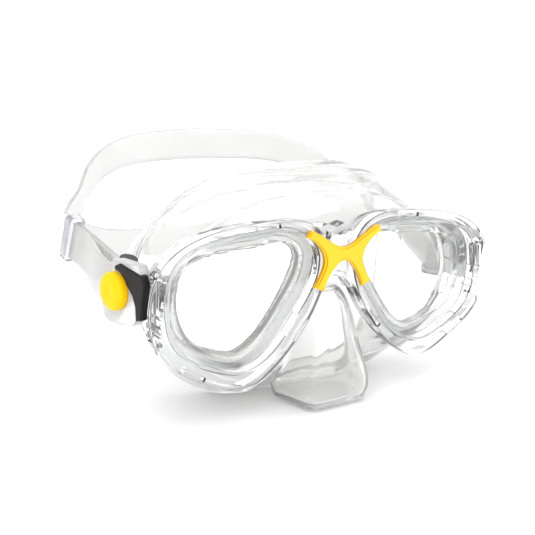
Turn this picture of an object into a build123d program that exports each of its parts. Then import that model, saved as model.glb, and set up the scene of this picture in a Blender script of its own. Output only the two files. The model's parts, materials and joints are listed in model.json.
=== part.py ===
"""Two-window diving mask with a soft skirt, two push-button strap buckles and a split head strap.

Millimetres.  +X is the wearer's left, +Y points back to the wearer's head, +Z is up.
The origin is the middle of the face seal; the front of the lens frame is seal_depth ahead of it.
"""
from build123d import *
import os
from math import cos, hypot, radians, sin

os.makedirs("parts", exist_ok=True)

# --- driving dimensions -------------------------------------------------------------------
seal_depth = 42.0          # front of the lens frame to the middle of the face seal
bezel_thickness = 3.95
frame_face = 4.0           # front of the main frame, just behind the bezel
bezel_rounding = 0.7       # front edges of the bezel
bezel_lip = 1.5            # part of the bezel that keeps its full width at the temples
temple_half_width = 76.0   # frame half width behind that lip, beside the buckles
temple_cut = (10.0, 60.0)  # width and height of the block cut away there
frame_back = 11.0          # rear face of the main frame
lens_front, lens_back = 4.1, 8.0
flange_front, flange_back = 8.05, 9.5          # skirt flange clamped behind the lens
skirt_front, skirt_wall = 11.4, 1.9
face_radius = 82.0         # the wearer's face, as an upright cylinder
face_gap = 30.0            # front of the frame to the forehead, on the centre line
face_reach = 60.0          # half height of that cylinder, taller than the skirt
lip_thickness, lip_width = 1.8, 9.0
nose_wall = 1.8

trim_thickness = 1.6
trim_step, trim_ledge = 0.5, 0.9
trim_brow = [(-15.8, 22.9), (-7.2, 18.2), (0, 15.4), (7.2, 18.2), (15.8, 22.9)]
trim_side = [(17.6, 20.3), (11.0, 15.4), (9.0, 10.6), (10.4, 5.6), (13.4, 0.9)]
trim_arch = [(9.0, -0.9), (5.2, 6.6), (0, 10.2), (-5.2, 6.6), (-9.0, -0.9)]

# buckle, in its own plane: x runs back along the strap, y across it, z outwards
toe = 11.5                 # the straps leave a little outwards
lift = 10.0                # and a little upwards
buckle_origin = (80.3, 4.4, 3.5)
swivel = (15.5, 4.9)       # depth and height of the swivel axis, which lies along X
plate_top, plate_bottom = -0.8, -4.6
cheek_radius = 3.9
cheek_ahead, cheek_behind = 4.5, 4.1
upper_cheek, lower_cheek = (8.1, 11.2), (-9.9, -8.1)
button_at, button_radius = (16.1, -3.2), 6.9
running_gap = 0.05         # between a turning pin and its bore, all round
lever_y = -4.2
lever_pin_x, lever_depth = 15.5, 3.0
lever_pin_radius = 0.6
spring_x = 12.3
spring_well_radius, spring_boss_radius = 1.8, 2.5
roller_x, roller_y, roller_depth, roller_radius = 23.0, -6.4, 8.5, 2.0
strap_tilt = 8.9           # degrees, the straps rise more steeply than the buckle
journal_radius, cap_radius = 1.5, 3.3
strap_width, strap_thickness = 15.5, 1.5
tail_run, layer_run = 43.5, 41.5   # lengths of the strap's outer and inner layer
keeper_run, keeper_length, keeper_wall, keeper_gap = 38.5, 4.0, 1.4, 0.3
tail_lean = 4.08           # the tail leans in this far to lie on the inner layer
bend_start, bend_end = 8.0, 30.0   # where along the strap it does so
layers_half_depth = 3.6    # roller axis to the outer face of either strap layer

# right half of each lens opening and of the frame around it, as (x, z)
rim_outline = [(30, 27.2), (55, 24.8), (74.5, 15), (80, 0), (76, -16), (60, -28.8), (42, -35.2),
               (28, -28), (16, -15), (7.2, 2), (6.2, 16), (14, 24.8)]
window_outline = [(30, 22.4), (53, 20.2), (67.8, 13.5), (71.5, 0), (68.5, -14), (54, -24.4),
                  (41, -27.4), (31, -22.6), (19, -8.2), (11.4, 5), (11, 14), (17, 20.6)]
# clip windows in the bezel: middle (x, z) and turn in degrees
clips = [(33, 25.0, -1), (17.8, -15.2, -52), (62.6, -25.2, 32), (74.6, 4.6, 98)]
clip_length, clip_width = 9.6, 1.7
# notches that rib the frame's side beside the buckle
notch_heights, notch_depth, notch_width = (-12.6, -9.4, -6.2, -3.0, 9.8, 13.0), 1.1, 1.3

# right half of the skirt's cross-sections, top to bottom; the rest are scaled from the widest
skirt_throat = [(0, 18), (16, 21.5), (36, 22.5), (54, 19.5), (63, 13), (66, 1), (64, -11),
                (55, -22), (42, -29), (24, -28), (0, -27)]
skirt_widest = [(0, 44), (21, 42.5), (40, 36.3), (54, 27.5), (64, 16), (68, 0), (65, -18),
                (54, -36), (38, -45.5), (20, -48), (0, -47.5)]
# depth and size against the widest section
skirt_steps = [(16.5, 0.97, 0.80), (26.0, 1.0, 0.98), (40.0, 0.985, 1.0), (58.0, 0.93, 0.96)]
# nose pocket: height, half width at the front and at the back, front, back, corner radius
nose_sections = [(-3, 6, 8, 7, 19, 3.5), (-16, 8.6, 13.5, -0.6, 19.5, 4.5),
                 (-30, 11.6, 17, -3.9, 20, 5), (-42, 14.4, 20, -4.6, 21.4, 5),
                 (-47.5, 13.6, 19, -3.2, 20.6, 5)]

# strap from the side to the back of the head: x, depth, low edge, high edge, heading in degrees
side_run = [(81.75, 68.4, 6.7, 22.5, -11.5), (81.3, 74.5, 6.4, 22.9, 18),
            (76.5, 82.5, 5.0, 25.5, 38), (70, 90, 3.5, 29.5, 43)]
upper_run = [(70, 90, 16.7, 29.5, 43), (62.5, 97.5, 24.5, 38.5, 47), (52, 105.5, 31, 44.5, 56),
             (38, 112.5, 34.5, 48.5, 68), (20, 117, 35.7, 50.2, 80), (0, 118.5, 36, 51, 90)]
lower_run = [(70, 90, 3.5, 16.3, 43), (62.5, 97.5, -1, 12.3, 47), (52, 105.5, -5, 8.3, 56),
             (38, 112.5, -8.5, 5.5, 68), (20, 117, -10.3, 4.5, 80), (0, 118.5, -11, 4, 90)]


# --- planes ---------------------------------------------------------------------------------
def behind(depth):
    """Upright plane at a depth behind the front of the frame; extrude(-t) goes back."""
    return Plane.XZ.offset(seal_depth - depth)


def place(x, depth, z):
    return Vector(x, depth - seal_depth, z)


outward = Vector(cos(radians(toe)), -sin(radians(toe)), 0)
backward = Vector(sin(radians(toe)), cos(radians(toe)), 0)
along = backward * cos(radians(lift)) + Vector(0, 0, sin(radians(lift)))
buckle = Plane(origin=place(*buckle_origin), x_dir=along, z_dir=outward)
across = Plane(origin=buckle.origin, x_dir=along, z_dir=buckle.y_dir)   # its y points inwards
# the roller and the straps: x runs back along the strap, y inwards, z across it
tilt = radians(strap_tilt)
reel = Plane(origin=buckle.from_local_coords((roller_x, roller_y, 0)),
             x_dir=along * cos(tilt) + buckle.y_dir * sin(tilt),
             z_dir=buckle.y_dir * cos(tilt) - along * sin(tilt))
swivel_plane = Plane(origin=place(0, *swivel), x_dir=(0, 1, 0), z_dir=(1, 0, 0))


# --- outlines ---------------------------------------------------------------------------------
def moved_out(points, margin):
    """Clockwise points, each moved out by a margin square to the line through its neighbours."""
    moved = []
    for index, (x, z) in enumerate(points):
        before, after = points[index - 1], points[(index + 1) % len(points)]
        run_x, run_z = after[0] - before[0], after[1] - before[1]
        reach = margin / hypot(run_x, run_z)
        moved.append((x - run_z * reach, z + run_x * reach))
    return moved


def outline(points, margin=0.0):
    """A smooth closed outline as a face, grown or shrunk by an even margin."""
    with BuildSketch() as face:
        with BuildLine():
            Spline(*moved_out(points, margin), periodic=True)
        make_face()
    return face.sketch


def both_halves(half):
    """A closed list of points from its right half, which starts and ends on the centre line."""
    return half + [(-x, z) for x, z in reversed(half[1:-1])]


def shrunk(half, margin):
    reach_x = max(x for x, z in half)
    reach_z = max(abs(z) for x, z in half)
    return [(x * (1 - margin / reach_x), z * (1 - margin / reach_z)) for x, z in half]


def clip_slots(length, width):
    with BuildSketch() as slots:
        for x, z, turn in clips:
            with Locations(Location((x, z), turn)):
                Rectangle(length, width)
    return slots.sketch


def temple_notches():
    with BuildSketch() as notches:
        with Locations(*[(temple_half_width, z) for z in notch_heights]):
            Rectangle(2 * notch_depth, notch_width)
    return notches.sketch


rim_face = outline(rim_outline)
seat_rim_face = outline(rim_outline, -1.5)
window_face = outline(window_outline)
seat_face = outline(window_outline, 1.9)
lens_face = outline(window_outline, 1.6)
flange_face = outline(window_outline, 1.5)
throat_face = outline(window_outline, -2.2)
collar_face = outline(window_outline, -3.0)
eye_face = outline(window_outline, -5.5)
other_seat_face = mirror(seat_face, about=Plane.YZ)
eye_side = (collar_face, flange_face, eye_face)
other_eye_side = tuple(mirror(face, about=Plane.YZ) for face in eye_side)

# --- lens bezel (wearer's left) -----------------------------------------------------------------
with BuildPart() as bezel:
    with BuildSketch(behind(0)):
        add(rim_face)
        add(window_face, mode=Mode.SUBTRACT)
    extrude(amount=-bezel_thickness)
    fillet(bezel.faces().sort_by(Axis.Y)[0].edges(), radius=bezel_rounding)
    with BuildSketch(behind(0)):
        add(clip_slots(clip_length, clip_width))
    extrude(amount=-bezel_thickness, mode=Mode.SUBTRACT)
    with BuildSketch(behind(bezel_lip)):
        with Locations((temple_half_width + temple_cut[0] / 2, 0)):
            Rectangle(*temple_cut)
        add(temple_notches())
    extrude(amount=-bezel_thickness, mode=Mode.SUBTRACT)

# --- lens ------------------------------------------------------------------------------------------
with BuildPart() as lens:
    with BuildSketch(behind(lens_front)):
        add(lens_face)
    extrude(amount=-(lens_back - lens_front))

# --- main frame with its bridge and swivel lugs --------------------------------------------------
bridge_half, bridge_top = 8.5, 23.5
lug_inner, lug_outer, lug_radius = 70.0, 73.0, 4.6
swivel_pin_radius, pin_head_radius, pin_head_length = 2.0, 3.2, 1.1
tongue_half, tongue_low, tongue_high, tongue_depth = 3.0, 11.9, 14.7, 3.0

with BuildPart() as frame_half:
    with BuildSketch(behind(frame_face)):
        add(seat_rim_face)
    extrude(amount=-(frame_back - frame_face))
    with BuildSketch(behind(frame_face)):
        add(seat_face)
    extrude(amount=-(flange_back + 0.1 - frame_face), mode=Mode.SUBTRACT)
    with BuildSketch(behind(flange_back)):
        add(throat_face)
    extrude(amount=-frame_back, mode=Mode.SUBTRACT)
    with BuildSketch(behind(frame_face)):
        with Locations((temple_half_width + temple_cut[0] / 2, 0)):
            Rectangle(*temple_cut)
        add(temple_notches())
    extrude(amount=-frame_back, mode=Mode.SUBTRACT)
    with BuildSketch(behind(1.0)):
        add(clip_slots(clip_length - 0.4, clip_width - 0.4))
    extrude(amount=-(frame_face - 1.0))
    with BuildSketch(swivel_plane.offset(lug_inner)):
        Circle(lug_radius)
        with Locations((-lug_radius / 2 - 0.2, 0)):
            Rectangle(lug_radius + 0.4, 2 * lug_radius)
    extrude(amount=lug_outer - lug_inner)
    with BuildSketch(swivel_plane.offset(lug_inner)):
        Circle(swivel_pin_radius + running_gap)
    extrude(amount=lug_outer - lug_inner, mode=Mode.SUBTRACT)

frame_other_half = mirror(frame_half.part, about=Plane.YZ)

with BuildPart() as main_frame:
    add(frame_half.part)
    add(frame_other_half)
    with BuildSketch(behind(frame_face)):
        with BuildLine():
            Polyline((-bridge_half, -3), (-bridge_half, bridge_top - 1), (-4, bridge_top),
                     (0, bridge_top - 1.5), (4, bridge_top), (bridge_half, bridge_top - 1),
                     (bridge_half, -3))
            ThreePointArc((bridge_half, -3), (0, 3), (-bridge_half, -3))
        make_face()
        add(seat_face, mode=Mode.SUBTRACT)
        add(other_seat_face, mode=Mode.SUBTRACT)
    extrude(amount=-(frame_back - 1.0 - frame_face))
    with BuildSketch(behind(0.4)):
        with BuildLine():
            Polyline((-5.2, 3), (-5.0, 21), (0, 19.5), (5.0, 21), (5.2, 3))
            ThreePointArc((5.2, 3), (0, 5.5), (-5.2, 3))
        make_face()
    extrude(amount=-(frame_face + 0.5))
    with BuildSketch(behind(0)):
        with Locations((0, (tongue_low + tongue_high) / 2)):
            Rectangle(2 * tongue_half + 0.2, tongue_high - tongue_low + 0.2)
    extrude(amount=-(tongue_depth + 0.2), mode=Mode.SUBTRACT)

# --- bridge trim -----------------------------------------------------------------------------------
def trim_outline(ledge=0.0):
    """The crossed trim as a face, or its raised middle when a ledge is left round it."""
    brow = [(x, z - ledge) for x, z in trim_brow]
    side = [(x - ledge, z) for x, z in trim_side]
    other_side = [(-x, z) for x, z in reversed(side)]
    arch = [(x, z + ledge) for x, z in trim_arch]
    with BuildSketch() as face:
        with BuildLine():
            Spline(*brow)
            Line(brow[-1], side[0])
            Spline(*side)
            Line(side[-1], arch[0])
            Spline(*arch)
            Line(arch[-1], other_side[0])
            Spline(*other_side)
            Line(other_side[-1], brow[0])
        make_face()
    return face.sketch


with BuildPart() as bridge_trim:
    with BuildSketch(behind(0)):
        add(trim_outline())
    extrude(amount=trim_thickness)
    with BuildSketch(behind(-trim_thickness)):
        add(trim_outline(trim_ledge))
    extrude(amount=trim_step)
    with BuildSketch(behind(0)):
        with Locations((0, (tongue_low + tongue_high) / 2)):
            Rectangle(2 * tongue_half, tongue_high - tongue_low)
    extrude(amount=-tongue_depth)


# --- skirt ---------------------------------------------------------------------------------------
def skirt_section(depth, half, margin=0.0):
    with BuildSketch(behind(depth)) as section:
        with BuildLine():
            Spline(*both_halves(shrunk(half, margin)), periodic=True)
        make_face()
    return section.sketch


def nose_section(height, front_half, back_half, front, rear, corner, margin=0.0):
    low, high = front + margin - seal_depth, rear - margin - seal_depth
    ahead, rearward = front_half - margin, back_half - margin
    with BuildSketch(Plane.XY.offset(height)) as section:
        with BuildLine():
            Polyline((-ahead, low), (ahead, low), (rearward, high), (-rearward, high), close=True)
        make_face()
        fillet(section.vertices(), radius=corner - margin)
    return section.sketch


skirt_sections = [(skirt_front, skirt_throat)]
for depth, scale_x, scale_z in skirt_steps:
    skirt_sections.append((depth, [(x * scale_x, z * scale_z) for x, z in skirt_widest]))

with BuildPart() as skirt_outer:
    loft([skirt_section(depth, half) for depth, half in skirt_sections])

with BuildPart() as skirt_inner:
    loft([skirt_section(depth + skirt_wall, half, skirt_wall) for depth, half in skirt_sections])

with BuildPart() as nose_outer:
    loft([nose_section(*section) for section in nose_sections])

with BuildPart() as nose_inner:
    top, *middle_sections, bottom = nose_sections
    inner_nose = [(top[0] - nose_wall, *top[1:]), *middle_sections,
                  (bottom[0] + nose_wall, *bottom[1:])]
    loft([nose_section(*section, margin=nose_wall) for section in inner_nose])

with BuildPart() as seal_lip:
    loft([skirt_section(depth, half, skirt_wall / 2) for depth, half in skirt_sections])
    with BuildSketch(Plane.XY.offset(-face_reach)):
        with Locations((0, face_gap + face_radius - seal_depth)):
            Circle(face_radius + lip_thickness)
    extrude(amount=2 * face_reach, mode=Mode.INTERSECT)
    with BuildSketch(behind(20)):
        with BuildLine():
            Spline(*both_halves(shrunk(skirt_widest, lip_width)), periodic=True)
        make_face()
    extrude(amount=-60, mode=Mode.SUBTRACT)

with BuildPart() as skirt:
    add(skirt_outer.part)
    add(nose_outer.part)
    add(skirt_inner.part, mode=Mode.SUBTRACT)
    add(nose_inner.part, mode=Mode.SUBTRACT)
    with BuildSketch(behind(10)):
        with BuildLine():
            Polyline((-5, -6), (5, -6), (10.5, -16), (14.5, -38), (-14.5, -38), (-10.5, -16),
                     close=True)
        make_face()
    extrude(amount=-12.5, mode=Mode.SUBTRACT)
    for collar, flange, eye in (eye_side, other_eye_side):
        with BuildSketch(behind(flange_front)):
            add(flange)
        extrude(amount=-(flange_back - flange_front))
        with BuildSketch(behind(flange_back)):
            add(collar)
        extrude(amount=-(skirt_front + 0.3 - flange_back))
        with BuildSketch(behind(lens_back)):
            add(eye)
        extrude(amount=-(skirt_front + skirt_wall + 0.2 - lens_back), mode=Mode.SUBTRACT)
    add(seal_lip.part)
    with BuildSketch(Plane.XY.offset(-face_reach)):
        with Locations((0, face_gap + face_radius - seal_depth)):
            Circle(face_radius)
    extrude(amount=2 * face_reach, mode=Mode.SUBTRACT)

# --- buckle body -----------------------------------------------------------------------------------
swivel_boss_length = 5.2
with BuildPart() as buckle_body:
    with BuildSketch(buckle.offset(plate_bottom)) as plate:
        with BuildLine():
            Polyline((3.2, -9.0), (5.2, -12.4), (12, -14.6), (18, -15.9), (21.8, -15.8),
                     (24.4, -10.5), (25.2, -4.0), (24.6, 2.5), (19.0, 7.6), (5.4, 9.9),
                     (3.2, 6.6), close=True)
        make_face()
        fillet(plate.vertices(), radius=1.6)
    extrude(amount=plate_top - plate_bottom)
    for low, high in (upper_cheek, lower_cheek):
        with BuildSketch(reel.offset(low)):
            with Locations((0, roller_depth)):
                Circle(cheek_radius)
            with Locations(((cheek_behind - cheek_ahead) / 2, (roller_depth - plate_bottom) / 2)):
                Rectangle(cheek_behind + cheek_ahead, roller_depth + plate_bottom)
        extrude(amount=high - low)
    with BuildSketch(swivel_plane.offset(lug_outer + 0.3)):
        Circle(cheek_radius)
    extrude(amount=swivel_boss_length)
    with BuildSketch(buckle.offset(-7.0)):
        with Locations((spring_x, lever_y)):
            Circle(spring_boss_radius)
    extrude(amount=3.0)
    # guide of the button, room for the lever, spring pocket, roller journals, swivel bore
    with BuildSketch(buckle.offset(plate_bottom)):
        with Locations(button_at):
            Circle(button_radius + 0.1)
    extrude(amount=5, mode=Mode.SUBTRACT)
    with BuildSketch(buckle.offset(-6.3)):
        with Locations((spring_x, lever_y)):
            Circle(spring_well_radius)
    extrude(amount=3, mode=Mode.SUBTRACT)
    with BuildSketch(reel.offset(lower_cheek[0] - 1)):
        with Locations((0, roller_depth)):
            Circle(journal_radius + running_gap)
    extrude(amount=24, mode=Mode.SUBTRACT)
    with BuildSketch(swivel_plane.offset(lug_outer)):
        Circle(swivel_pin_radius)
    extrude(amount=3.4, mode=Mode.SUBTRACT)
    with BuildSketch(across.offset(-11.2)):
        with Locations((lever_pin_x, lever_depth)):
            Circle(lever_pin_radius)
    extrude(amount=17, mode=Mode.SUBTRACT)

# --- buckle cover ------------------------------------------------------------------------------------
cover_thickness = 2.8
with BuildPart() as buckle_cover:
    with BuildSketch(buckle.offset(-cover_thickness)):
        with BuildLine():
            Polyline((17.4, 4.25), (17.7, 5.7), (15.0, 7.4), (2.4, 7.4), (0.3, 5.2), (0.3, -8.2),
                     (2.9, -9.4), (4.0, -4.6), (6.2, -1.2), (9.9, 1.1))
            RadiusArc((9.9, 1.1), (17.4, 4.25), 7.5)
        make_face()
    extrude(amount=cover_thickness)
    edges_out = buckle_cover.faces().sort_by(Axis(buckle.origin, outward))[-1].edges()
    fillet(edges_out, radius=0.5)
    with BuildSketch(buckle.offset(-cover_thickness)):
        add(plate.sketch_local)
        offset(amount=0.1)
    extrude(amount=cover_thickness + plate_top, mode=Mode.SUBTRACT)

# --- strap roller and its cap ----------------------------------------------------------------------
with BuildPart() as strap_roller:
    with BuildSketch(reel.offset(lower_cheek[1] + 0.1)):
        with Locations((0, roller_depth)):
            Circle(roller_radius)
    extrude(amount=upper_cheek[0] - lower_cheek[1] - 0.2)
    with BuildSketch(reel.offset(lower_cheek[0] - 1.0)):
        with Locations((0, roller_depth)):
            Circle(journal_radius)
    extrude(amount=upper_cheek[1] - lower_cheek[0] + 1.5)
    with BuildSketch(reel.offset(upper_cheek[1] + 0.1)):
        with Locations((0, roller_depth)):
            Circle(cap_radius)
    extrude(amount=1.2)

with BuildPart() as roller_cap:
    with BuildSketch(reel.offset(lower_cheek[0] - 1.4)):
        with Locations((0, roller_depth)):
            Circle(cap_radius)
    extrude(amount=1.3)
    with BuildSketch(reel.offset(lower_cheek[0] - 1.0)):
        with Locations((0, roller_depth)):
            Circle(journal_radius)
    extrude(amount=1.0, mode=Mode.SUBTRACT)

# --- push button ---------------------------------------------------------------------------------
button_bottom, button_top, button_bevel = -1.5, 2.6, 0.9
button_hollow_radius, button_hollow_depth = 5.9, 2.7
peg_radius, peg_bottom, peg_length = 0.6, -2.3, 4.2   # seats the return spring
with BuildPart() as push_button:
    with BuildSketch(buckle.offset(button_bottom)):
        with Locations(button_at):
            Circle(button_radius)
    extrude(amount=button_top - button_bottom)
    rim = push_button.faces().sort_by(Axis(buckle.origin, outward))[-1].edges()
    chamfer(rim, length=button_bevel)
    with BuildSketch(buckle.offset(button_bottom)):
        with Locations(button_at):
            Circle(button_hollow_radius)
    extrude(amount=button_hollow_depth, mode=Mode.SUBTRACT)
    with BuildSketch(buckle.offset(peg_bottom)):
        with Locations((spring_x, lever_y)):
            Circle(peg_radius)
    extrude(amount=peg_length)

# --- strap lever, its pin and the return spring -----------------------------------------------------
lever_half_width, lever_boss_radius = 1.7, 1.1
with BuildPart() as strap_lever:
    with BuildSketch(across.offset(lever_y - lever_half_width)):
        with BuildLine():
            Polyline((11.4, 2.5), (20.9, 2.5), (20.9, 5.05), (20.1, 5.05), (19.0, 3.5),
                     (11.4, 3.5), close=True)
        make_face()
        with Locations((lever_pin_x, lever_depth)):
            Circle(lever_boss_radius)
    extrude(amount=2 * lever_half_width)
    with BuildSketch(across.offset(lever_y - lever_half_width)):
        with Locations((lever_pin_x, lever_depth)):
            Circle(lever_pin_radius + running_gap)
    extrude(amount=2 * lever_half_width, mode=Mode.SUBTRACT)

with BuildPart() as lever_pin:
    with BuildSketch(across.offset(-11.0)):
        with Locations((lever_pin_x, lever_depth)):
            Circle(lever_pin_radius)
    extrude(amount=16.2)

spring_turns, spring_wire, spring_radius, spring_length = 3, 0.4, 1.2, 2.0
spring_foot = buckle.from_local_coords((spring_x, lever_y, -6.0))
with BuildPart() as button_spring:
    with BuildLine() as coil:
        Helix(spring_length / spring_turns, spring_length, spring_radius,
              center=spring_foot, direction=outward)
    with BuildSketch(Plane(origin=coil.line @ 0, z_dir=coil.line % 0)):
        Circle(spring_wire / 2)
    sweep(is_frenet=True)

# --- swivel pin ------------------------------------------------------------------------------------
with BuildPart() as swivel_pin:
    with BuildSketch(swivel_plane.offset(lug_inner - pin_head_length - 0.1)):
        Circle(pin_head_radius)
    extrude(amount=pin_head_length)
    with BuildSketch(swivel_plane.offset(lug_inner - 0.5)):
        Circle(swivel_pin_radius)
    extrude(amount=6.8)

# --- strap keeper ----------------------------------------------------------------------------------
tail_face = layers_half_depth - tail_lean     # outer face of the tail there, from the roller axis
keeper_inside = (layers_half_depth + tail_face + 2 * keeper_gap, strap_width + 2 * keeper_gap)
keeper_depth = roller_depth + (layers_half_depth - tail_face) / 2
with BuildPart() as strap_keeper:
    keeper_plane = Plane(origin=reel.from_local_coords((keeper_run, keeper_depth, 0)),
                         x_dir=outward, z_dir=reel.x_dir)
    with BuildSketch(keeper_plane.offset(-keeper_length / 2)):
        RectangleRounded(keeper_inside[0] + 2 * keeper_wall,
                         keeper_inside[1] + 2 * keeper_wall, 1.8)
        Rectangle(*keeper_inside, mode=Mode.SUBTRACT)
    extrude(amount=keeper_length)


# --- head strap ------------------------------------------------------------------------------------
def strap_station(x, depth, low, high, heading):
    """An upright rectangular section of the strap, facing along its heading."""
    turn = radians(heading)
    ahead = Vector(-sin(turn), cos(turn), 0)
    beside = Vector(cos(turn), sin(turn), 0)
    middle = place(x, depth, (low + high) / 2)
    with BuildSketch(Plane(origin=middle, x_dir=beside, z_dir=ahead)) as section:
        Rectangle(strap_thickness, high - low)
    return section.sketch


runs = []
for stations in (side_run, upper_run, lower_run):
    with BuildPart() as run:
        loft([strap_station(*station) for station in stations])
    runs.append(run.part)

tail_outer = roller_depth - layers_half_depth
tail_inner = tail_outer + strap_thickness
with BuildPart() as strap_half:
    with BuildSketch(reel.offset(-strap_width / 2)):
        with Locations((0, roller_depth)):
            Circle(layers_half_depth)
        with Locations((layers_half_depth, roller_depth)):
            Rectangle(2 * layers_half_depth, 3 * layers_half_depth, mode=Mode.SUBTRACT)
        with Locations((layer_run / 2, roller_depth + layers_half_depth - strap_thickness / 2)):
            Rectangle(layer_run, strap_thickness)
        with BuildLine():
            Line((0, tail_outer), (bend_start, tail_outer))
            Spline((bend_start, tail_outer), (bend_end, tail_outer + tail_lean),
                   tangents=[(1, 0), (1, 0)])
            Polyline((bend_end, tail_outer + tail_lean), (tail_run, tail_outer + tail_lean),
                     (tail_run, tail_inner + tail_lean), (bend_end, tail_inner + tail_lean))
            Spline((bend_end, tail_inner + tail_lean), (bend_start, tail_inner),
                   tangents=[(-1, 0), (-1, 0)])
            Polyline((bend_start, tail_inner), (0, tail_inner), (0, tail_outer))
        make_face()
        with Locations((0, roller_depth)):
            Circle(roller_radius + 0.1, mode=Mode.SUBTRACT)
    extrude(amount=strap_width)
    for run in runs:
        add(run)

strap_other_half = mirror(strap_half.part, about=Plane.YZ)
with BuildPart() as head_strap:
    add(strap_half.part)
    add(strap_other_half)


# --- write one file per piece --------------------------------------------------------------------
def save(piece, name):
    piece.label = name
    export_step(piece, f"parts/{name}.step")


for builder, name in ((skirt, "face_skirt"), (main_frame, "main_frame"),
                      (bridge_trim, "bridge_trim"), (head_strap, "head_strap")):
    save(builder.part, name)

for builder, name in ((bezel, "lens_bezel"), (lens, "lens"), (buckle_body, "buckle_body"),
                      (buckle_cover, "buckle_cover"), (strap_roller, "strap_roller"),
                      (roller_cap, "roller_cap"), (push_button, "push_button"),
                      (strap_lever, "strap_lever"), (lever_pin, "lever_pin"),
                      (button_spring, "button_spring"), (swivel_pin, "swivel_pin"),
                      (strap_keeper, "strap_keeper")):
    save(mirror(builder.part, about=Plane.YZ), f"right_{name}")
    save(builder.part, f"left_{name}")
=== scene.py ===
"""Looks of a two-window diving mask: clear frame, glass, soft clear skirt and a split head strap.

Metres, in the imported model's frame: +X the wearer's left, +Y back to the head, +Z up.
"""
import json
from math import cos, pi, radians, sin

import bpy
import numpy as np
from mathutils import Matrix, Vector


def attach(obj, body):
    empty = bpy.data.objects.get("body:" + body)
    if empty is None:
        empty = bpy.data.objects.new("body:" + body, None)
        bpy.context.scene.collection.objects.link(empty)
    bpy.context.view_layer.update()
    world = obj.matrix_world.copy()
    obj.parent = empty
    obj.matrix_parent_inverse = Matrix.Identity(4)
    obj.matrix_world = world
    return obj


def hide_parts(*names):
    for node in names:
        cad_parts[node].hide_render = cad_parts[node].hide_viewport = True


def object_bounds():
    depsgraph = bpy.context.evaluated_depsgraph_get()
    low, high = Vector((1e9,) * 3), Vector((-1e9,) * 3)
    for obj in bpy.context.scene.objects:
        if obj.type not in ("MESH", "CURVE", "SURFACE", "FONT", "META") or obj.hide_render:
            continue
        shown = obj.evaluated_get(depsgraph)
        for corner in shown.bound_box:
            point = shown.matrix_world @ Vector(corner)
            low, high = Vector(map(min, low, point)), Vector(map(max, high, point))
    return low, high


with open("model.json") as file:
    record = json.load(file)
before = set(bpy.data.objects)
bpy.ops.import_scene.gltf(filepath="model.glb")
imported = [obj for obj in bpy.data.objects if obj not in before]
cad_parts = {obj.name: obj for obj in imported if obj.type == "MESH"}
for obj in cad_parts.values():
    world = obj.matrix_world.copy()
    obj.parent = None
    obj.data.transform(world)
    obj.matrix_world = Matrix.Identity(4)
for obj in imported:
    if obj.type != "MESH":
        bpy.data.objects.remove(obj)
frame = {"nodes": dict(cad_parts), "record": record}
cad_low, cad_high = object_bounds()
nodes = frame["nodes"]
mm = 0.001
seal_depth = 42.0            # mm, front of the lens frame to the middle of the face seal

# the buckle's own directions on the wearer's left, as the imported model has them
toe, lift = radians(11.5), radians(10.0)
outward = np.array([cos(toe), -sin(toe), 0.0])
along = np.array([sin(toe) * cos(lift), cos(toe) * cos(lift), sin(lift)])
across = np.cross(outward, along)
buckle_origin = np.array([80.3, 4.4 - seal_depth, 3.5])
button_x, button_y = 16.1, -3.2       # mm along and across the buckle
roller_x, roller_y, roller_depth = 23.0, -6.4, 8.5
wrap_radius = 2.85                    # roller's axis to the middle of the strap round it
tail_end, layer_end = 43.5, 41.5      # mm from the roller's axis
strap_width, strap_thickness = 15.5, 1.5
tail_lean, bend_start, bend_end = 4.08, 8.0, 30.0   # the tail leans in to lie on the inner layer
strap_tilt = radians(8.9)             # how much more steeply than the buckle the strap rises
reel_origin = buckle_origin + along * roller_x + across * roller_y
strap_run = along * cos(strap_tilt) + across * sin(strap_tilt)
strap_side = across * cos(strap_tilt) - along * sin(strap_tilt)

# strap stations beyond the buckle, mm: x, depth, and the heights of the low edge, the lower
# band's top, the upper band's bottom and the high edge
slit = 0.45                  # half the width of the web that joins the bands ahead of the split
strap_stations = [(81.75, 68.4, 6.7, 14.6 - slit, 14.6 + slit, 22.5),
                  (81.3, 74.5, 6.4, 15.2 - slit, 15.2 + slit, 22.9),
                  (76.5, 82.5, 5.0, 15.7 - slit, 15.7 + slit, 25.5),
                  (70, 90, 3.5, 16.5 - slit, 16.5 + slit, 29.5),
                  (62.5, 97.5, -1, 12.3, 24.5, 38.5),
                  (52, 105.5, -5, 8.3, 31, 44.5),
                  (38, 112.5, -8.5, 5.5, 34.5, 48.5),
                  (20, 117, -10.3, 4.5, 35.7, 50.2),
                  (0, 118.5, -11, 4, 36, 51)]


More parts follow.
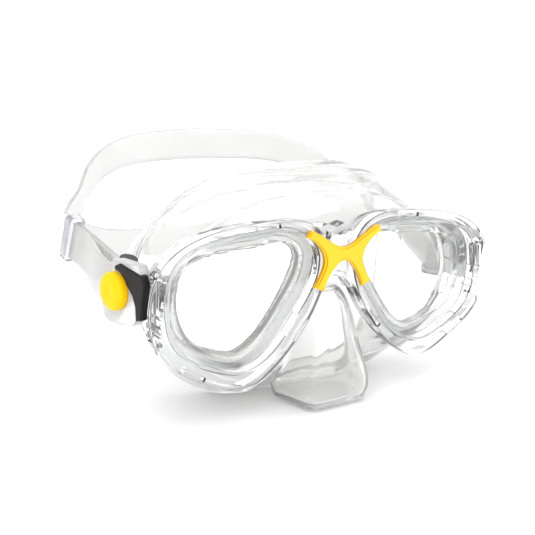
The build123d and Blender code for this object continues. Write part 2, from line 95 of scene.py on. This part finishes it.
# --- materials -----------------------------------------------------------------------------
class Finish:
    """A principled material whose colour, roughness and surface vary over the piece."""

    def __init__(self, name, **settings):
        self.material = bpy.data.materials.new(name)
        self.material.use_nodes = True
        self.tree = self.material.node_tree
        self.shader = self.tree.nodes["Principled BSDF"]
        for socket, value in settings.items():
            self.shader.inputs[socket.replace("_", " ")].default_value = value
        self.height = None

    def node(self, kind, **settings):
        made = self.tree.nodes.new("ShaderNode" + kind)
        for socket, value in settings.items():
            if socket[0].isupper():
                made.inputs[socket.replace("_", " ")].default_value = value
            else:
                setattr(made, socket, value)
        return made

    def link(self, start, end):
        self.tree.links.new(start, end)

    def noise(self, scale, stretch=(1, 1, 1), detail=3.0):
        """Noise in the piece's own metres; scale is in waves per metre."""
        place = self.node("TexCoord")
        stretched = self.node("Mapping", Scale=stretch)
        wave = self.node("TexNoise", Scale=scale, Detail=detail)
        self.link(place.outputs["Object"], stretched.inputs["Vector"])
        self.link(stretched.outputs["Vector"], wave.inputs["Vector"])
        return wave.outputs["Fac"]

    def spread(self, source, low, high, start=0.35, end=0.65):
        """source, mapped from start..end to low..high."""
        step = self.node("MapRange", From_Min=start, From_Max=end, To_Min=low, To_Max=high)
        self.link(source, step.inputs["Value"])
        return step.outputs["Result"]

    def rough(self, scale, low, high, stretch=(1, 1, 1)):
        self.link(self.spread(self.noise(scale, stretch), low, high),
                  self.shader.inputs["Roughness"])
        return self

    def tones(self, source, first, second, start=0.35, end=0.65):
        """Base colour from first to second as source goes from start to end."""
        mix = self.node("Mix", data_type="RGBA")
        for socket in mix.inputs:
            if socket.type == "RGBA":
                socket.default_value = (*(first if socket.name == "A" else second), 1)
        self.link(self.spread(source, 0, 1, start, end), mix.inputs["Factor"])
        colour = next(s for s in mix.outputs if s.type == "RGBA")
        self.link(colour, self.shader.inputs["Base Color"])
        return self

    def bump(self, source, depth):
        """Adds a height, depth metres deep, under what is there already."""
        relief = self.node("Bump", Strength=1.0, Distance=depth)
        self.link(source, relief.inputs["Height"])
        if self.height is not None:
            self.link(self.height, relief.inputs["Normal"])
        self.height = relief.outputs["Normal"]
        self.link(self.height, self.shader.inputs["Normal"])
        return self

    def facing(self, axis):
        """How squarely the surface faces along one of the piece's own axes, 0 to 1."""
        place = self.node("TexCoord")
        parts = self.node("SeparateXYZ")
        size = self.node("Math", operation="ABSOLUTE")
        self.link(place.outputs["Normal"], parts.inputs["Vector"])
        self.link(parts.outputs[axis], size.inputs[0])
        return size.outputs["Value"]


def silicone(name, colour, shade, clear, low, high):
    """Clear silicone: satin, faintly ivory, with soft mould texture and flow marks."""
    made = Finish(name, Base_Color=(*colour, 1), IOR=1.41, Transmission_Weight=clear,
                  Specular_IOR_Level=0.45)
    made.tones(made.noise(38, detail=2), colour, shade)
    made.rough(160, low, high)
    made.bump(made.noise(1300, detail=1), 0.0000016)
    made.bump(made.noise(45, detail=1), 0.00012)
    return made


def clear_plastic(name, colour, shade, clear, low, high):
    """Polished polycarbonate: hairline scratches, slight sink marks."""
    made = Finish(name, Base_Color=(*colour, 1), IOR=1.585, Transmission_Weight=clear)
    made.tones(made.noise(60), colour, shade)
    made.rough(300, low, high)
    made.bump(made.noise(900, (1, 1, 9), detail=1), 0.0000008)
    made.bump(made.noise(110, detail=1), 0.00005)
    return made


def moulded(name, colour, shade, low, high, grain, **settings):
    """Coloured moulded plastic with a fine eroded grain."""
    made = Finish(name, Base_Color=(*colour, 1), IOR=1.5, **settings)
    made.tones(made.noise(250), colour, shade)
    made.rough(700, low, high)
    made.bump(made.noise(5200, detail=3), grain)
    return made


finishes = {
    "skirt_silicone": silicone("skirt_silicone", (0.985, 0.983, 0.976), (0.97, 0.968, 0.96),
                               0.85, 0.04, 0.09),
    "strap_silicone": silicone("strap_silicone", (0.87, 0.87, 0.865), (0.84, 0.84, 0.83),
                               0.6, 0.08, 0.16),
    "clear_frame": clear_plastic("clear_frame", (0.965, 0.97, 0.98), (0.95, 0.955, 0.97),
                                 1.0, 0.015, 0.05),
    "clear_bezel": clear_plastic("clear_bezel", (0.97, 0.975, 0.98), (0.95, 0.955, 0.97),
                                 1.0, 0.01, 0.04),
    "buckle_plastic": clear_plastic("buckle_plastic", (0.96, 0.96, 0.97), (0.94, 0.94, 0.955),
                                    0.6, 0.06, 0.14),
    "keeper_plastic": clear_plastic("keeper_plastic", (0.93, 0.92, 0.97), (0.91, 0.90, 0.96),
                                    0.85, 0.05, 0.12),
    "cover_plastic": moulded("cover_plastic", (0.008, 0.008, 0.0085), (0.013, 0.013, 0.014),
                             0.3, 0.42, 0.000006, Specular_IOR_Level=0.2),
    "roller_plastic": moulded("roller_plastic", (0.008, 0.008, 0.008), (0.014, 0.014, 0.014),
                              0.25, 0.4, 0.000005, Specular_IOR_Level=0.25),
    "yellow_button": moulded("yellow_button", (1.0, 0.6, 0.0), (0.98, 0.56, 0.0),
                             0.3, 0.42, 0.000004, Specular_IOR_Level=0.15),
    "lever_plastic": moulded("lever_plastic", (0.82, 0.82, 0.8), (0.76, 0.76, 0.74),
                             0.35, 0.5, 0.00001),
}

glass = Finish("lens_glass", IOR=1.52, Transmission_Weight=1.0)
glass.tones(glass.facing("Y"), (0.74, 0.92, 0.88), (0.985, 1.0, 0.99), 0.2, 0.8)
glass.rough(25, 0.0, 0.012)
glass.bump(glass.noise(22, detail=1), 0.00002)
finishes["lens_glass"] = glass

trim = Finish("yellow_trim", IOR=1.5, Specular_IOR_Level=0.3, Coat_Weight=0.4,
              Coat_Roughness=0.05, Transmission_Weight=0.12)
# painted shade: faces turned away from the front are darker orange, front-facing faces full
# yellow
trim.tones(trim.facing("Y"), (0.82, 0.42, 0.0), (1.0, 0.62, 0.0), 0.3, 0.9)
trim.rough(500, 0.1, 0.2)
trim.bump(trim.noise(2500, detail=2), 0.000006)
finishes["yellow_trim"] = trim

steel = Finish("pin_steel", Metallic=1.0, Anisotropic=0.5)
steel.tones(steel.noise(400), (0.62, 0.62, 0.63), (0.72, 0.72, 0.73))
steel.rough(900, 0.18, 0.32, (1, 8, 8))
steel.bump(steel.noise(3000, (1, 20, 20)), 0.000006)
finishes["pin_steel"] = steel

slot_of = {entry["node"]: entry["material_slot"] for entry in frame["record"]["subparts"]}
for name, node in nodes.items():
    node.data.materials.clear()
    node.data.materials.append(finishes[slot_of[name]].material)


# --- meshes ----------------------------------------------------------------------------------
def as_object(name, points, faces):
    mesh = bpy.data.meshes.new(name)
    mesh.from_pydata([tuple(p) for p in points], [], faces)
    mesh.update()
    piece = bpy.data.objects.new(name, mesh)
    bpy.context.scene.collection.objects.link(piece)
    return piece


def settle(piece):
    """Turns a piece's modifiers into its own mesh."""
    bpy.context.view_layer.update()
    graph = bpy.context.evaluated_depsgraph_get()
    mesh = bpy.data.meshes.new_from_object(piece.evaluated_get(graph))
    piece.modifiers.clear()
    piece.data = mesh


def shade_smooth(piece):
    piece.data.polygons.foreach_set("use_smooth", [True] * len(piece.data.polygons))


def dress(piece, slot, body, *stands_for):
    piece.data.materials.clear()
    piece.data.materials.append(finishes[slot].material)
    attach(piece, body)
    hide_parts(*stands_for)


def vectors(source, attribute):
    """One row per vertex: positions as "co", or normals as "vector"."""
    values = np.empty(len(source) * 3, np.float32)
    source.foreach_get(attribute, values)
    return values.reshape(-1, 3).astype(float)


def ramp(values, start, end):
    """A smooth step from 0 at start to 1 at end."""
    share = np.clip((values - start) / (end - start), 0, 1)
    return share * share * (3 - 2 * share)


# --- skirt -------------------------------------------------------------------------------------
# mm, and a pair is where something starts and ends
face_radius, face_axis_y = 82.0, 70.0  # the upright cylinder that the skirt's rim follows
half_wide, half_high = 68, 46          # an ellipse whose outward direction marks the outer wall
eye_x, eye_z = 42, -2                  # the middle of each eye opening
voxel, quick_voxel = 0.7, 1.1
rim_band_raise, bead_raise, collar_raise, rib_raise = 0.55, 0.35, 0.45, 0.25
bead_ahead, bead_width = 0.9, 1.0      # ahead of the face
rib_ahead, rib_width = 14.5, 0.6
rim_band_edge = 8.4, 9.4
shell_front = 12.2, 13.4               # behind the front of the lens frame
collar_edge = 15.2, 16.2
eye_wall_edge = 12.6, 14
nose_side, nose_top = (22, 27), (-8, 0)
pocket_side, pocket_top = (15, 18.5), (-6, 0)
bridge_side = 7, 9
outer_facing, eye_facing = (0.1, 0.5), (0.3, 0.8)   # cosines
wall_thinning = 1.4


def make_skirt():
    """The skirt as one soft skin: a banded rim, a fine rib, a raised collar, thin eye walls."""
    source = nodes["face_skirt"]
    skirt = bpy.data.objects.new("silicone_skirt", source.data.copy())
    bpy.context.scene.collection.objects.link(skirt)
    remesh = skirt.modifiers.new("skin", "REMESH")
    remesh.mode = "VOXEL"
    remesh.voxel_size = voxel * mm
    soften = skirt.modifiers.new("soften", "SMOOTH")
    soften.factor = 0.5
    soften.iterations = 5
    settle(skirt)
    points = vectors(skirt.data.vertices, "co") / mm
    normals = vectors(skirt.data.vertex_normals, "vector")
    x, y, z = points.T
    depth = y + seal_depth
    ahead = np.hypot(x, y - face_axis_y) - face_radius
    spread = np.stack([x / half_wide ** 2, np.zeros_like(x), z / half_high ** 2], 1)
    spread /= np.linalg.norm(spread, axis=1)[:, None] + 1e-9
    outer = ramp((normals * spread).sum(1), *outer_facing)
    nose = (1 - ramp(np.abs(x), *nose_side)) * (1 - ramp(z, *nose_top))
    shell = outer * (1 - nose) * ramp(depth, *shell_front)
    rim_band = 1 - ramp(ahead, *rim_band_edge)
    rim_bead = np.exp(-((ahead - bead_ahead) / bead_width) ** 2)
    collar = 1 - ramp(depth, *collar_edge)
    rib = np.exp(-((ahead - rib_ahead) / rib_width) ** 2)
    height = shell * (rim_band_raise * rim_band + bead_raise * rim_bead
                      + collar_raise * collar + rib_raise * rib)
    to_eye = np.stack([np.sign(x) * eye_x - x, np.zeros_like(x), eye_z - z], 1)
    to_eye /= np.linalg.norm(to_eye, axis=1)[:, None] + 1e-9
    eye_wall = (ramp((normals * to_eye).sum(1), *eye_facing)
                * (1 - ramp(depth, *eye_wall_edge)))
    pocket = (1 - ramp(np.abs(x), *pocket_side)) * (1 - ramp(z, *pocket_top))
    height -= wall_thinning * eye_wall * (1 - pocket) * ramp(np.abs(x), *bridge_side)
    points += normals * height[:, None]
    skirt.data.vertices.foreach_set("co", (points * mm).astype(np.float32).ravel())
    skirt.data.update()
    shade_smooth(skirt)
    dress(skirt, "skirt_silicone", "mask", "face_skirt")


make_skirt()


# --- head strap --------------------------------------------------------------------------------
def reel_point(run, depth):
    return reel_origin + strap_run * run - outward * depth


def tail_point(run):
    lean = tail_lean * float(ramp(np.array(run), bend_start, bend_end))
    return reel_point(run, roller_depth - wrap_radius + lean)


def between(start, end, slope_in, slope_out, t):
    """A cubic from start to end with the slopes given at its ends, t from 0 to 1."""
    return ((2 * t ** 3 - 3 * t ** 2 + 1) * start + (t ** 3 - 2 * t ** 2 + t) * slope_in
            + (3 * t ** 2 - 2 * t ** 3) * end + (t ** 3 - t ** 2) * slope_out)


def strap_rows():
    """Rows from the tail's end round the roller to the middle of the back.

    Each is a centre, the direction across and the four edges as heights along it. The second
    result is how many rows, from the tail's end, have ribs.
    """
    flat_edges = np.array([-strap_width / 2, -slit, slit, strap_width / 2])
    rows = []
    pitch, back_pitch = 0.4, 1.6          # mm between rows, in the buckle and behind it
    rounding = [(0.0, 0.72), (0.6, 0.86), (1.5, 0.95), (2.8, 1.0)]   # of the tail's end
    for back, share in rounding:
        centre = tail_point(tail_end - back)
        rows.append((centre, strap_side, flat_edges * share))
    for run in np.arange(tail_end - 3.2, 0, -pitch):
        rows.append((tail_point(run), strap_side, flat_edges))
    for turn in np.linspace(0, pi, 19):
        centre = reel_point(-wrap_radius * sin(turn),
                            roller_depth - wrap_radius * cos(turn))
        rows.append((centre, strap_side, flat_edges))
    for run in np.arange(pitch, layer_end - 3.0, pitch):
        rows.append((reel_point(run, roller_depth + wrap_radius), strap_side, flat_edges))
    ribbed_to = len(rows)
    key_rows = [(reel_point(run, roller_depth + wrap_radius), strap_side, flat_edges)
                for run in (layer_end - 12, layer_end - 3.4)]
    for x, depth, *edges in strap_stations:
        middle = (edges[0] + edges[3]) / 2
        key_rows.append((np.array([x, depth - seal_depth, middle]), np.array([0, 0, 1.0]),
                         np.array(edges) - middle))
    mirror_row = key_rows[-2]
    key_rows.append((mirror_row[0] * [-1, 1, 1], mirror_row[1], mirror_row[2]))
    keys = np.array([np.concatenate(row) for row in key_rows])
    for index in range(1, len(keys) - 2):
        before, start, end, after = keys[index - 1:index + 3]
        span = np.linalg.norm((end - start)[:3])
        slope_in = (end - before) * span / (span + np.linalg.norm((start - before)[:3]))
        slope_out = (after - start) * span / (span + np.linalg.norm((after - end)[:3]))
        steps = max(2, round(span / back_pitch))
        for t in np.arange(1, steps + 1) / steps:
            value = between(start, end, slope_in, slope_out, t)
            direction = value[3:6] / np.linalg.norm(value[3:6])
            rows.append((value[:3], direction, value[6:]))
    return rows, ribbed_to


def make_strap():
    """One moulded band: a tail, a turn round the roller, ribs, then two bands behind the head."""
    rows, ribbed_to = strap_rows()
    centres = np.array([row[0] for row in rows])
    tangents = np.gradient(centres, axis=0)
    tangents /= np.linalg.norm(tangents, axis=1)[:, None]
    columns = 7                           # across each band
    rib_pitch, rib_depth = 1.6, 0.42
    half_thick = strap_thickness / 2
    share = np.linspace(0, 1, columns + 1)
    opens = next(i for i, row in enumerate(rows) if row[2][2] - row[2][1] > 2.2 * slit)
    travelled = np.concatenate([[0], np.cumsum(np.linalg.norm(np.diff(centres, axis=0), axis=1))])
    layers = []
    for side in (1, -1):
        points = []
        for index, (centre, direction, edges) in enumerate(rows):
            normal = np.cross(direction, tangents[index])
            normal /= np.linalg.norm(normal)
            lower = edges[0] + (edges[1] - edges[0]) * share
            upper = edges[2] + (edges[3] - edges[2]) * share
            heights = np.concatenate([lower, upper])
            ribbed = side < 0 and index < ribbed_to
            for column, height in enumerate(heights):
                inset = 0.0
                inside = 1 < column < len(heights) - 2
                if ribbed and inside and (travelled[index] / rib_pitch) % 1 > 0.5:
                    inset = rib_depth
                points.append(centre + direction * height
                              + normal * side * (half_thick - inset))
        layers.append(np.array(points))
    width = 2 * (columns + 1)
    top, below = layers
    count = len(top)
    present = np.ones((len(rows) - 1, width - 1), bool)
    present[opens:, columns] = False
    faces = []
    for row in range(len(rows) - 1):
        for column in range(width - 1):
            if not present[row, column]:
                continue
            a = row * width + column
            b, c, d = a + 1, a + width + 1, a + width
            faces.append((a, b, c, d))
            faces.append((count + d, count + c, count + b, count + a))
            if column == 0 or not present[row, column - 1]:
                faces.append((a, d, count + d, count + a))
            if column == width - 2 or not present[row, column + 1]:
                faces.append((c, b, count + b, count + c))
            if row == 0 or not present[row - 1, column]:
                faces.append((b, a, count + a, count + b))
            if row < len(rows) - 2 and not present[row + 1, column]:
                faces.append((d, c, count + c, count + d))
    points = np.concatenate([top, below]) * mm
    strap = as_object("silicone_strap", points, faces)
    mirrored = strap.modifiers.new("other_half", "MIRROR")
    mirrored.merge_threshold = 0.02 * mm
    round_off = strap.modifiers.new("round_edges", "SUBSURF")
    round_off.levels = round_off.render_levels = 1
    settle(strap)
    shade_smooth(strap)
    dress(strap, "strap_silicone", "strap", "head_strap")


make_strap()


# --- push buttons ------------------------------------------------------------------------------
button_centre = buckle_origin + along * button_x + across * button_y
# radius and height of the button's turned outline, from its dimple to inside its hollow
button_profile = [(0.0, 2.42), (0.7, 2.46), (1.2, 2.62), (1.7, 2.8), (3.0, 2.76), (4.5, 2.6),
                  (5.6, 2.34), (6.2, 2.08), (6.62, 1.72), (6.82, 1.3), (6.9, 0.8), (6.9, 0.0),
                  (6.9, -1.5), (5.9, -1.5), (5.9, 1.0), (5.7, 1.2), (0.0, 1.2)]


def make_button(side, sign):
    """A low dome with a small dimple, turned about the buckle's outward direction."""
    spokes = 72
    turns = [2 * pi * i / spokes for i in range(spokes)]
    points = []
    for radius, height in button_profile:
        for turn in turns:
            point = (button_centre + outward * height
                     + (along * cos(turn) + across * sin(turn)) * radius)
            points.append(point * [sign, 1, 1] * mm)
    faces = []
    for ring in range(len(button_profile) - 1):
        for i in range(spokes):
            a, b = ring * spokes + i, ring * spokes + (i + 1) % spokes
            face = (a, a + spokes, b + spokes, b)
            faces.append(face if sign > 0 else face[::-1])
    button = as_object(f"{side}_domed_button", points, faces)
    weld = button.modifiers.new("weld", "WELD")
    weld.merge_threshold = 0.001 * mm
    settle(button)
    shade_smooth(button)
    dress(button, "yellow_button", f"{side}_button", f"{side}_push_button")


make_button("left", 1)
make_button("right", -1)


# --- floor, light and camera --------------------------------------------------------------------
lit_point = (0, 0.02, 0)     # what every light and card faces


def make_floor():
    rim, reach, gap = 72, 4.0, 0.4 * mm
    level = cad_low.z - gap
    ring = [(reach * cos(2 * pi * i / rim), reach * sin(2 * pi * i / rim), level)
            for i in range(rim)]
    floor = as_object("floor", ring, [tuple(range(rim))])
    paint = Finish("floor_paint", Roughness=0.7)
    paint.tones(paint.noise(6), (0.955, 0.955, 0.955), (0.97, 0.97, 0.97))
    floor.data.materials.append(paint.material)


def aimed(position):
    """A place and a turn that faces the lit point."""
    direction = Vector(lit_point) - Vector(position)
    return Matrix.Translation(position) @ direction.to_track_quat("-Z", "Y").to_matrix().to_4x4()


def softbox(name, position, width, height, power):
    light = bpy.data.lights.new(name, "AREA")
    light.shape = "RECTANGLE"
    light.size, light.size_y = width, height
    light.energy = power
    lamp = bpy.data.objects.new(name, light)
    lamp.matrix_world = aimed(position)
    bpy.context.scene.collection.objects.link(lamp)


def black_card(name, position, width, height):
    """A studio flag: seen only in reflections and through clear pieces."""
    w, h = width / 2, height / 2
    card = as_object(name, [(-w, -h, 0), (w, -h, 0), (w, h, 0), (-w, h, 0)], [(0, 1, 2, 3)])
    card.matrix_world = aimed(position)
    cloth = Finish("card_cloth", Roughness=0.9)
    cloth.tones(cloth.noise(40), (0.01, 0.01, 0.011), (0.02, 0.02, 0.021))
    card.data.materials.append(cloth.material)
    card.visible_camera = False
    card.visible_shadow = False
    card.visible_diffuse = False


make_floor()
softbox("key", (-0.75, -0.75, 0.95), 0.7, 0.7, 5)
softbox("fill", (0.95, -0.5, 0.55), 0.7, 0.6, 3)
softbox("back", (0.1, 1.1, 0.8), 1.2, 0.7, 4)
black_card("card_left", (-0.9, 0.2, 0.25), 0.26, 0.9)
black_card("card_right", (0.9, 0.05, 0.3), 0.26, 0.9)
black_card("card_above", (0.0, -0.2, 1.0), 1.6, 0.22)
black_card("card_back", (0.4, 1.3, 0.5), 1.2, 0.14)

world = bpy.data.worlds.new("studio")
bpy.context.scene.world = world
world.use_nodes = True
world.node_tree.nodes["Background"].inputs["Color"].default_value = (1.0, 1.0, 1.0, 1)
world.node_tree.nodes["Background"].inputs["Strength"].default_value = 1.15
bpy.context.scene.view_settings.view_transform = "Standard"

azimuth, elevation, roll = radians(-33.23), radians(13.27), radians(1.575)
focal_share = 850 / 535      # focal length against the picture's width
camera_place = (-0.19599, -0.28983, 0.08049)
sensor = 36.0
back = Vector((sin(azimuth) * cos(elevation), -cos(azimuth) * cos(elevation), sin(elevation)))
level_right = Vector((cos(azimuth), sin(azimuth), 0))
level_up = back.cross(level_right)
right = level_right * cos(roll) + level_up * sin(roll)
up = level_up * cos(roll) - level_right * sin(roll)
camera = bpy.data.objects.new("camera", bpy.data.cameras.new("camera"))
camera.data.sensor_width = sensor
camera.data.lens = sensor * focal_share
camera.data.clip_start = 0.01
camera.matrix_world = (Matrix.Translation(camera_place)
                       @ Matrix((right, up, back)).transposed().to_4x4())
bpy.context.scene.collection.objects.link(camera)
bpy.context.scene.camera = camera
